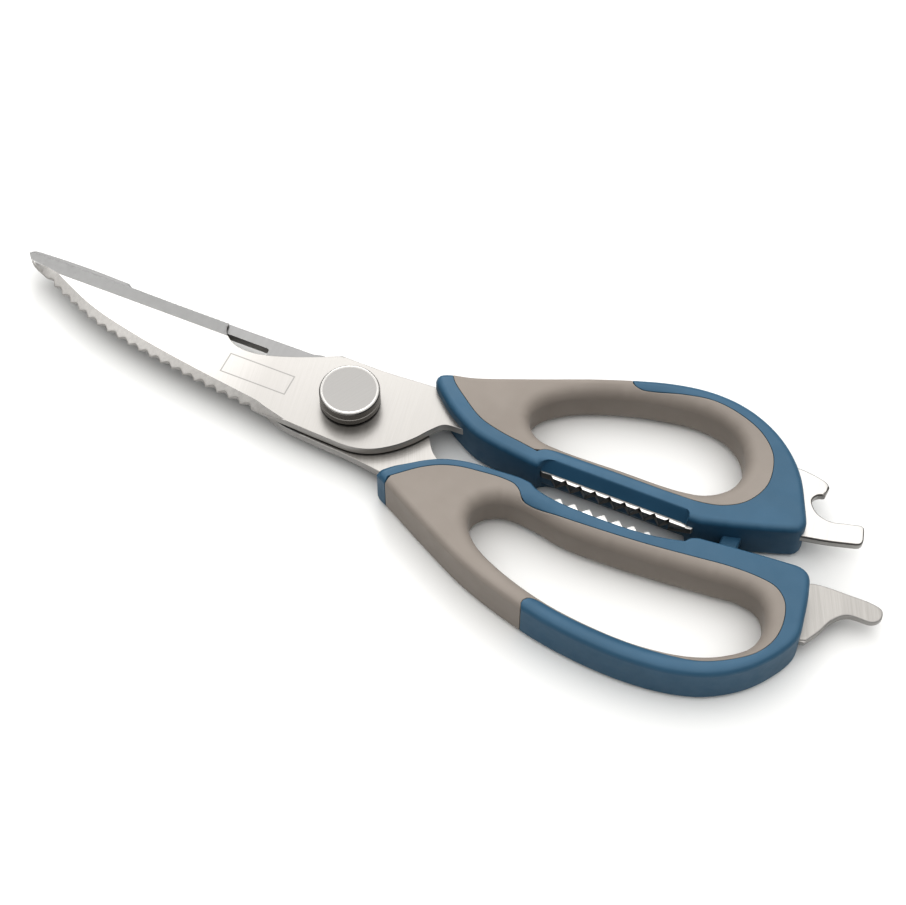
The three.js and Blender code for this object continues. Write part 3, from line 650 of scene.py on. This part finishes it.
def upper_blade(looks):
    outline = joined([
        scaler_teeth(), curve(UPPER_HEEL), UPPER_JAW_LEFT, jaw_teeth(*UPPER_JAW), UPPER_JAW_RIGHT,
        curve(UPPER_TANG_REAR), curve(CAP_LIFTER, step=0.3), curve(CAP_LIFTER_HOOK, step=0.5),
        curve(CAP_LIFTER_BACK, step=0.5), curve(UPPER_TANG_TOP), curve(BONE_NOTCH, step=0.6),
        fine_serration(),
    ])
    back = np.vstack([curve(SCALER_BACK, step=1.5), curve(UPPER_HEEL, step=1.5)])
    back = back[back[:, 0] < SCALER_BEVEL_END]
    widths = np.interp(back[:, 0], SCALER_BEVEL_AT, SCALER_BEVEL_WIDTH)
    bevel = shifted(back, widths)
    lead_in = bevel[0] + (bevel[0] - bevel[1]) / np.linalg.norm(bevel[0] - bevel[1]) * 6
    bevel = np.vstack([[lead_in], bevel])
    flat_side = np.vstack([bevel, [(-9, -13), (160, -60), (160, 60), (-130, 60)]])
    ground_depth = thickness("upper_blade") - EDGE_LAND
    slope = ground_depth / (CUTTING_EDGE_Y - CUTTING_BEVEL_Y)

    def scaler_ramp(flat):
        """How far points lie beyond the scaler's bevel line, and how deep they lie on its ramp."""
        beyond = np.where(inside(flat, flat_side), 0, nearest(flat, bevel, closed=False)[0])
        return beyond, ground_depth * beyond / (beyond + nearest(flat, back, closed=False)[0] + 1e-6)

    def top_drop(flat):
        beyond, ramp = scaler_ramp(flat)
        scaled = np.minimum(ramp, SCALER_STEEPEST * beyond)
        past_line = np.clip(flat[:, 1] - CUTTING_BEVEL_Y, 0, None)
        cutting = np.where(flat[:, 0] < CUTTING_BEVEL_END, past_line * slope, 0)
        kind = np.where(cutting > np.maximum(scaled, 1e-4), GROUND, np.where(scaled > 1e-4, SCALED, FLAT))
        jaw = np.where(over_jaw(flat), np.interp(-flat[:, 1], JAW_GRIND_AT, JAW_GRIND_DROP), 0)
        kind = np.where(over_jaw(flat) & (flat[:, 1] < -JAW_GRIND_AT[0]), SCALED, kind)
        # the jaw's steep-ground tooth faces get painted shade
        kind = np.where(over_jaw(flat) & (flat[:, 1] < -JAW_GRIND_AT[1]), PAINTED_SHADE, kind)
        return np.maximum(np.maximum(scaled, cutting), jaw), kind

    def bottom_drop(flat):
        return np.zeros(len(flat)), np.full(len(flat), FLAT)

    cutting_line = np.array([(x, CUTTING_BEVEL_Y) for x in np.arange(-96, CUTTING_BEVEL_END, 1.5)])
    between = [shifted(back, widths * share) for share in (0.33, 0.66)]
    ridge = []  # where the scaler's bevel and the cutting bevel meet
    for x in np.arange(-94.4, -84, 0.4):
        column = np.array([(x, y) for y in np.arange(4, CUTTING_EDGE_Y, 0.05)])
        cutting = np.clip(column[:, 1] - CUTTING_BEVEL_Y, 0, None) * slope
        higher = np.nonzero(cutting > scaler_ramp(column)[1])[0]
        if len(higher) and 0 < higher[0]:
            ridge.append(column[higher[0]])
    jaw_xs = np.arange(JAW_LINES_FROM, JAW_LINES_TO, CURVE_STEP)
    jaw_lines = [np.array([(x, -y) for x in jaw_xs]) for y in JAW_LINES_AT]
    lines = [cutting_line, bevel, *between, np.array(ridge), *jaw_lines]
    # its tail tools' rims take the dark steel: a painted reflection of dark surroundings
    blade("upper_blade_steel", outline, [circle(PIVOT_BORE)], lines, top_drop, bottom_drop,
          BLADE_INNER, BLADE_OUTER, PAINTED_SHADE, looks, "upper_half", "upper_blade")


def bone_slot():
    """The closed slot in the lower blade: a rectangle with rounded corners."""
    left, right, bottom, top = BONE_SLOT
    radius = BONE_SLOT_RADIUS
    corners = ((left, bottom), (right, bottom), (right, top), (left, top))
    points = []
    for corner, (x, y) in enumerate(corners):
        centre_x = x + radius * (1 if x == left else -1)
        centre_y = y + radius * (1 if y == bottom else -1)
        for step in range(7):
            turn = math.radians(180 + corner * 90 + step * 15)
            points.append((centre_x + radius * math.cos(turn), centre_y + radius * math.sin(turn)))
    return np.array(points)


def lower_blade(looks):
    teeth = jaw_teeth(*LOWER_JAW)[::-1]
    outline = joined([
        curve(LOWER_EDGE), curve(PRY_TIP, step=0.5), LOWER_JAW_RIGHT, teeth, LOWER_JAW_LEFT,
        curve(LOWER_TANG_TOP), LOWER_SPINE, LOWER_SPINE_STEP, curve(LOWER_TIP),
    ])
    edge_line = curve(LOWER_EDGE, step=1.5)
    edge_line = edge_line[edge_line[:, 0] < LOWER_BEVEL_END]
    inner_line = shifted(edge_line, np.full(len(edge_line), LOWER_BEVEL_WIDTH))
    ground_depth = thickness("lower_blade") - EDGE_LAND
    fade_from, fade_rate = LOWER_BEVEL_FADE

    def top_drop(flat):
        past_bend = flat[:, 0] - PRY_BEND - (-0.7 - flat[:, 1]) * PRY_BEND_LEAN
        rear = np.clip(past_bend / PRY_TAPER_LENGTH, 0, 1) * PRY_TAPER
        kind = np.where(over_jaw(flat), SCALED, FLAT)
        return rear, np.where(flat[:, 0] < SPINE_FINISH_END, GROUND, kind)

    def bottom_drop(flat):
        fade = np.clip(flat[:, 0] - fade_from, 0, None) * fade_rate
        away = nearest(flat, edge_line, closed=False)[0] + fade
        ground = np.clip(1 - away / LOWER_BEVEL_WIDTH, 0, 1) * ground_depth
        return ground, np.where(ground > 1e-4, GROUND, FLAT)

    bend = np.array([(PRY_BEND, -0.2), (PRY_BEND + 0.6, -7)])
    blade("lower_blade_steel", outline, [bone_slot(), circle(PIVOT_BORE)], [inner_line, bend], top_drop,
          bottom_drop, -BLADE_OUTER, -BLADE_INNER, EDGE, looks, "lower_half", "lower_blade")


# ---- pivot ---------------------------------------------------------------
def turned(profile, segments=128):
    """A closed solid of revolution about Z from the [radius, height] corners of its section."""
    points, faces, rings = [], [], []
    for radius, z in profile:
        if radius < 1e-6:
            rings.append([len(points)])
            points.append((0, 0, z))
        else:
            turns = [2 * math.pi * s / segments for s in range(segments)]
            rings.append(list(range(len(points), len(points) + segments)))
            points += [(radius * math.cos(t), radius * math.sin(t), z) for t in turns]
    closed = list(zip(rings, rings[1:] + rings[:1]))
    for upper, lower in closed:
        for s in range(segments):
            t = (s + 1) % segments
            if len(upper) == 1 and len(lower) > 1:
                faces.append((upper[0], lower[s], lower[t]))
            elif len(lower) == 1 and len(upper) > 1:
                faces.append((upper[s], lower[0], upper[t]))
            elif len(upper) > 1:
                faces.append((upper[s], lower[s], lower[t], upper[t]))
    return np.array(points), faces


def rounded(corner, radius, start, turn, steps=6):
    """Points of an arc in a section: its centre, its radius, and the angles that it runs through."""
    angles = [math.radians(start + turn * s / steps) for s in range(steps + 1)]
    return [(corner[0] + radius * math.cos(a), corner[1] + radius * math.sin(a)) for a in angles]


def pivot(cap_looks, steel_look):
    """The cap nut on top, the washer inside it, and the slotted screw that comes up from below."""
    rim, dish = 0.5, 0.05
    flat_radius = CAP_RADIUS - rim
    groove_half, groove_floor_half, groove_depth, bottom_edge = 0.22, 0.1, 0.16, 0.25
    washer_low, washer_high = height("pivot_washer", 0), height("pivot_washer", 1)
    washer_radius, gap = radius_of("pivot_washer"), 0.3
    screw_top, bore = height("pivot_screw", 1), PIVOT_BORE
    band = (CAP_TOP - rim + CAP_BOTTOM) / 2
    profile = [
        (0, CAP_TOP - dish), (flat_radius - 0.35, CAP_TOP - dish), (flat_radius - 0.12, CAP_TOP),
        *rounded((flat_radius, CAP_TOP - rim), rim, 90, -90, 8),
        (CAP_RADIUS, band + groove_half), (CAP_RADIUS - groove_depth, band + groove_floor_half),
        (CAP_RADIUS - groove_depth, band - groove_floor_half), (CAP_RADIUS, band - groove_half),
        (CAP_RADIUS, CAP_BOTTOM + bottom_edge), (CAP_RADIUS - bottom_edge, CAP_BOTTOM),
        (washer_radius + gap, CAP_BOTTOM), (washer_radius + gap, washer_high + gap),
        (bore, washer_high + gap), (bore, screw_top + gap), (0, screw_top + gap),
    ]
    points, faces = turned(profile)
    centres = [np.mean([points[i] for i in f], axis=0) for f in faces]
    side_below, rim_beyond = CAP_TOP - rim * 0.6, flat_radius - 0.3
    picks = [2 if c[2] < side_below else int(math.hypot(c[0], c[1]) > rim_beyond) for c in centres]
    make_piece("pivot_cap", points, faces, cap_looks, "lower_half", "pivot_cap_nut",
               smooth_below=20, picks=picks)

    edge = 0.1
    ring = [
        (bore, washer_low + edge), (bore, washer_high - edge), (bore + edge, washer_high),
        (washer_radius - edge, washer_high), (washer_radius, washer_high - edge),
        (washer_radius, washer_low + edge), (washer_radius - edge, washer_low), (bore + edge, washer_low),
    ]
    points, faces = turned(ring[::-1])
    make_piece("pivot_washer_ring", points, [f[::-1] for f in faces], [steel_look], "lower_half",
               "pivot_washer", smooth_below=20)

    head_radius, head_low = radius_of("pivot_screw"), height("pivot_screw", 0)
    head_high, shank, shank_edge = head_low + 1.6, 2.9, 0.2
    slot_half, slot_lean, slot_depth, chamfer = 0.6, 0.03, 0.7, 0.5
    disc = circle(head_radius, 96)
    rings = [disc, beside(disc, chamfer * 0.3), beside(disc, chamfer)]
    floor_half, mouth_half = slot_half - slot_lean, slot_half + slot_lean
    lines = [np.array([(-head_radius, y), (head_radius, y)])
             for y in (-mouth_half, -floor_half, floor_half, mouth_half)]
    flat, tris = triangulate(rings, lines, lambda c: inside(c, disc))
    sunk = fillet(nearest(flat, disc)[0], chamfer)[0]
    sunk = np.maximum(sunk, np.interp(np.abs(flat[:, 1]), (floor_half, mouth_half), (slot_depth, 0)))
    head, head_faces = walled(flat, tris, np.full(len(flat), head_high), head_low + sunk)
    stem_low = head_high - 0.2
    stem, stem_faces = turned([(0, screw_top), (shank - shank_edge, screw_top),
                               (shank, screw_top - shank_edge), (shank, stem_low), (0, stem_low)], 64)
    shift = len(head)
    make_piece("pivot_slotted_screw", np.vstack([head, stem]),
               head_faces + [tuple(i + shift for i in f) for f in stem_faces], [steel_look], "lower_half",
               "pivot_screw", smooth_below=24)


# ---- materials -----------------------------------------------------------
class Look:
    """A procedural material, with short ways to add and join its nodes."""

    def __init__(self, name, **sockets):
        self.material = bpy.data.materials.new(name)
        self.material.use_nodes = True
        self.tree = self.material.node_tree
        self.shader = self.tree.nodes["Principled BSDF"]
        for socket, value in sockets.items():
            self.shader.inputs[socket.replace("_", " ")].default_value = value
        self.place = self.tree.nodes.new("ShaderNodeTexCoord").outputs["Object"]

    def node(self, kind, settings=(), **sockets):
        made = self.tree.nodes.new(kind)
        for key, value in dict(settings).items():
            setattr(made, key, value)
        for socket, value in sockets.items():
            self.feed(made.inputs[socket.replace("_", " ")], value)
        return made

    def feed(self, socket, value):
        if isinstance(value, bpy.types.NodeSocket):
            self.tree.links.new(value, socket)
        else:
            socket.default_value = value

    def stretched(self, scale, turn=0):
        """Object coordinates turned about Z and stretched, in cycles per metre."""
        mapping = self.node("ShaderNodeMapping", settings={"vector_type": "TEXTURE"}, Vector=self.place,
                            Scale=[1 / s for s in scale], Rotation=(0, 0, math.radians(turn)))
        return mapping.outputs["Vector"]

    def noise(self, vector, scale=1.0, detail=3.0, roughness=0.55):
        made = self.node(
            "ShaderNodeTexNoise", Vector=vector, Scale=scale, Detail=detail, Roughness=roughness
        )
        return made.outputs["Fac"]

    def spread(self, value, low, high, start=0.3, end=0.7):
        """Maps a noise value onto a range."""
        made = self.node("ShaderNodeMapRange", Value=value)
        for socket, number in zip(("From Min", "From Max", "To Min", "To Max"), (start, end, low, high)):
            made.inputs[socket].default_value = number
        return made.outputs["Result"]

    def blend(self, share, first, second):
        made = self.node("ShaderNodeMix", settings={"data_type": "RGBA"})
        self.feed(made.inputs["Factor"], share)
        self.feed(made.inputs[6], first)
        self.feed(made.inputs[7], second)
        return made.outputs[2]

    def math(self, operation, a, b=0.0):
        made = self.node("ShaderNodeMath", settings={"operation": operation})
        self.feed(made.inputs[0], a)
        self.feed(made.inputs[1], b)
        return made.outputs[0]

    def bump(self, heights, strength=0.2, distance=0.0001):
        """Bumps from one or more (value, weight) heights, into the shader's normal."""
        total = None
        for value, weight in heights:
            scaled = self.math("MULTIPLY", value, weight)
            total = scaled if total is None else self.math("ADD", total, scaled)
        made = self.node("ShaderNodeBump", Height=total, Strength=strength, Distance=distance)
        self.tree.links.new(made.outputs["Normal"], self.shader.inputs["Normal"])

    def set(self, socket, value):
        self.tree.links.new(value, self.shader.inputs[socket])


FINE_GRAIN, COARSE_GRAIN = (90, 5200, 5200), (28, 1500, 1500)  # brush marks, in cycles per metre


def grey(value, warm=0.0):
    """A grey, made warmer or, below zero, colder."""
    return (value * (1 + warm), value, value * (1 - warm * 1.2), 1)


def steel(name, tone, rough, grain_turn, streaks, warm=0.022, mark=None, duller_and_painted_shade=None):
    """Brushed stainless steel: streaks along one direction and faint clouding.

    The last argument gives the four X between which a darker tint comes in and goes: painted shade for a
    reflection that falls off along the blade, partly a duller finish.
    """
    look = Look(name, Metallic=1.0)
    grain = look.stretched(FINE_GRAIN, grain_turn)
    coarse = look.stretched(COARSE_GRAIN, grain_turn)
    fine, broad = look.noise(grain, detail=4), look.noise(coarse, detail=3)
    cloud = look.noise(look.place, scale=45, detail=4)
    streak = look.math("ADD", look.math("MULTIPLY", fine, 0.55), look.math("MULTIPLY", broad, 0.45))
    streaked = look.spread(streak, 0, 1, 0.32, 0.68)
    tint = look.blend(streaked, grey(tone * (1 - streaks), warm), grey(tone, warm))
    tint = look.blend(look.spread(cloud, 0, 0.18), tint, grey(tone * 0.93, warm * 2))
    # painted shade: the tint darkens between the given X where the reflection falls off, partly a duller
    # finish
    if duller_and_painted_shade is not None:
        across = look.node("ShaderNodeSeparateXYZ", Vector=look.place).outputs["X"]
        start, end, fade, gone = (x * MM + PIVOT.x for x in duller_and_painted_shade)
        coming, going = look.spread(across, 0, 1, start, end), look.spread(across, 1, 0, fade, gone)
        share = look.math("MULTIPLY", coming, going)
        tint = look.blend(share, tint, look.blend(0.6, tint, grey(tone * 0.3, warm * 2)))
    if mark is not None:
        tint = look.blend(mark(look), tint, grey(tone * 0.3, 0.02))
    look.set("Base Color", tint)
    look.set("Roughness", look.spread(streak, rough * 0.85, rough * 1.18, 0.3, 0.7))
    look.bump([(fine, 1.0), (broad, 0.8)], strength=0.12, distance=0.00002)
    return look.material


def etched_frame(look):
    """A mask for the plain etched rectangle on the upper blade's flat."""
    left, right, bottom, top, half_line = -32.8, -15.45, -4.75, 0.9, 0.15
    axes = look.node("ShaderNodeSeparateXYZ", Vector=look.place)
    distances = []
    for axis, (low, high) in enumerate(((left, right), (bottom, top))):
        middle = ((low + high) / 2 * MM) + PIVOT[axis]
        offset = look.math("ABSOLUTE", look.math("SUBTRACT", axes.outputs[axis], middle))
        distances.append(look.math("SUBTRACT", offset, (high - low) / 2 * MM))
    to_frame = look.math("ABSOLUTE", look.math("MAXIMUM", distances[0], distances[1]))
    over = look.math("GREATER_THAN", axes.outputs[2], PIVOT.z + (BLADE_OUTER - 0.05) * MM)
    line = look.math("LESS_THAN", to_frame, half_line * MM)
    return look.math("MULTIPLY", look.math("MULTIPLY", line, over), 0.75)


def blue_plastic():
    """Moulded satin plastic: a faint orange-peel surface and slight clouding of the colour."""
    look = Look("satin_blue_plastic", IOR=1.5, Specular_IOR_Level=0.45)
    darker, lighter = (0.031, 0.087, 0.139, 1), (0.038, 0.102, 0.163, 1)
    cloud = look.noise(look.place, scale=60, detail=5)
    speck, peel = look.noise(look.place, scale=2600, detail=2), look.noise(look.place, scale=700, detail=3)
    look.set("Base Color", look.blend(look.spread(cloud, 0, 1), darker, lighter))
    look.set("Roughness", look.spread(look.noise(look.place, scale=260, detail=4), 0.40, 0.52))
    look.bump([(speck, 0.6), (peel, 1.0)], strength=0.14, distance=0.00003)
    return look.material


def soft_grip():
    """Soft-touch rubber: matt, finely grained, with slight rubbed patches."""
    look = Look("soft_grip_rubber", IOR=1.5, Specular_IOR_Level=0.3, Sheen_Weight=0.08, Sheen_Roughness=0.5)
    darker, lighter = (0.222, 0.199, 0.179, 1), (0.250, 0.225, 0.203, 1)
    cloud = look.noise(look.place, scale=40, detail=5)
    grain, lumps = look.noise(look.place, scale=3200, detail=2), look.noise(look.place, scale=900, detail=3)
    look.set("Base Color", look.blend(look.spread(cloud, 0, 1), darker, lighter))
    look.set("Roughness", look.spread(look.noise(look.place, scale=180, detail=4), 0.58, 0.72))
    look.bump([(grain, 1.0), (lumps, 0.6)], strength=0.16, distance=0.00003)
    return look.material


# ---- assembly ------------------------------------------------------------
plastic, rubber = blue_plastic(), soft_grip()
# the flat is painted darker from the heel to the tang: painted shade for the falling reflection, partly a
# duller finish
flat_steel = steel("blade_flat_steel", 0.48, 0.34, 100, 0.16, mark=etched_frame, duller_and_painted_shade=(-60, -22, 96, 104))
ground_steel = steel("ground_edge_steel", 0.39, 0.42, 90, 0.10, warm=0.004)
scaler_steel = steel("scaler_bevel_steel", 0.70, 0.40, 70, 0.2)
edge_steel = steel("plate_edge_steel", 0.38, 0.36, 0, 0.14)
cross_steel = steel("cross_brushed_steel", 0.32, 0.36, 114, 0.22, warm=0.03)
spine_steel = steel("spine_steel", 0.20, 0.42, 90, 0.10, warm=0.004)
# painted shade: a near-black steel for the jaw's shaded walls and tooth faces and the dark reflection along
# the tail tools' edges
shade_steel_look = steel("painted_shade_steel", 0.17, 0.34, 90, 0.2, warm=0.03)
cap_steel = steel("cap_top_steel", 0.258, 0.46, 60, 0.2, warm=0.02)
rim_steel = steel("cap_rim_steel", 0.32, 0.24, 0, 0.05)
side_steel = steel("cap_side_steel", 0.2, 0.26, 0, 0.10, warm=0.04)
pin_steel = steel("pin_steel", 0.55, 0.30, 0, 0.10)

upper_blade([flat_steel, ground_steel, scaler_steel, edge_steel, shade_steel_look])
lower_blade([cross_steel, spine_steel, scaler_steel, edge_steel, shade_steel_look])
handle("upper", UPPER_HANDLE, THUMB_HOLE, UPPER_GRIP, plastic, rubber, True, upper_edge_radius)
handle("lower", LOWER_HANDLE, FINGER_HOLE, LOWER_GRIP, plastic, rubber, False, lower_edge_radius)
pivot([cap_steel, rim_steel, side_steel], pin_steel)


# ---- floor, light and camera ---------------------------------------------
def outward(azimuth, elevation):
    """The direction from the object for an azimuth measured from -Y towards +X."""
    a, e = math.radians(azimuth), math.radians(elevation)
    return Vector((math.sin(a) * math.cos(e), -math.cos(a) * math.cos(e), math.sin(e)))


def floor_plane():
    look = Look("pale_floor", Roughness=0.75, Specular_IOR_Level=0.2)
    darker, lighter = (0.68, 0.68, 0.675, 1), (0.70, 0.70, 0.695, 1)
    cloud = look.noise(look.place, scale=3, detail=3)
    look.set("Base Color", look.blend(look.spread(cloud, 0, 1), darker, lighter))
    half, gap = 4.0, 0.0002
    level = cad_box[0].z - gap
    corners = [(-half, -half, level), (half, -half, level), (half, half, level), (-half, half, level)]
    mesh = bpy.data.meshes.new("floor")
    mesh.from_pydata(corners, [], [(0, 1, 2, 3)])
    mesh.materials.append(look.material)
    floor = bpy.data.objects.new("floor", mesh)
    bpy.context.scene.collection.objects.link(floor)


def softbox(name, azimuth, elevation, distance, size, power):
    light = bpy.data.lights.new(name, "AREA")
    light.shape = "DISK"
    light.size = size
    light.energy = power
    lamp = bpy.data.objects.new(name, light)
    bpy.context.scene.collection.objects.link(lamp)
    back = outward(azimuth, elevation)
    lamp.location = PIVOT + back * distance
    lamp.rotation_euler = (-back).to_track_quat("-Z", "Y").to_euler()


SKY_BRIGHTEST = (200, 80)  # azimuth and elevation
SKY_LEVELS = (0.12, 1.72)  # 90 degrees or more from the brightest direction, and in it
HORIZON = (-0.1, 0.6, 0.1, 1.0)  # heights between which the sky rises from one share to the other


def smooth_range(nodes, start, end, low, high):
    made = nodes.new("ShaderNodeMapRange")
    made.interpolation_type = "SMOOTHSTEP"
    for socket, number in zip(("From Min", "From Max", "To Min", "To Max"), (start, end, low, high)):
        made.inputs[socket].default_value = number
    return made


def studio():
    """A sky that is brightest almost overhead and fades to the horizon, and a softbox behind the object."""
    world = bpy.data.worlds.new("studio")
    bpy.context.scene.world = world
    world.use_nodes = True
    nodes, links = world.node_tree.nodes, world.node_tree.links
    background = nodes["Background"]
    background.inputs["Color"].default_value = (1.0, 0.995, 0.985, 1)
    toward = nodes.new("ShaderNodeVectorMath")
    toward.operation = "DOT_PRODUCT"
    links.new(nodes.new("ShaderNodeTexCoord").outputs["Generated"], toward.inputs[0])
    toward.inputs[1].default_value = outward(*SKY_BRIGHTEST)
    level = smooth_range(nodes, 0.0, 1.0, *SKY_LEVELS)
    links.new(toward.outputs["Value"], level.inputs["Value"])
    split = nodes.new("ShaderNodeSeparateXYZ")
    links.new(nodes["Texture Coordinate"].outputs["Generated"], split.inputs[0])
    horizon = smooth_range(nodes, *HORIZON)
    links.new(split.outputs["Z"], horizon.inputs["Value"])
    total = nodes.new("ShaderNodeMath")
    total.operation = "MULTIPLY"
    links.new(level.outputs["Result"], total.inputs[0])
    links.new(horizon.outputs["Result"], total.inputs[1])
    links.new(total.outputs["Value"], background.inputs["Strength"])
    softbox("key_softbox", azimuth=208, elevation=40, distance=1.3, size=0.45, power=2.6)
    bpy.context.scene.view_settings.view_transform = "Standard"
    bpy.context.scene.view_settings.look = "High Contrast"


def photo_camera():
    azimuth, elevation, distance = 24, 56.5, 0.52606
    aim = PIVOT + Vector((28.0931, -2.1096, 0)) * MM
    back = outward(azimuth, elevation)
    data = bpy.data.cameras.new("camera")
    data.lens, data.sensor_width = 87.42, 36
    data.clip_start, data.clip_end = 0.01, 20
    camera = bpy.data.objects.new("camera", data)
    bpy.context.scene.collection.objects.link(camera)
    camera.location = aim + back * distance
    camera.rotation_mode = "QUATERNION"
    camera.rotation_quaternion = (-back).to_track_quat("-Z", "Y")
    bpy.context.scene.camera = camera


floor_plane()
studio()
photo_camera()
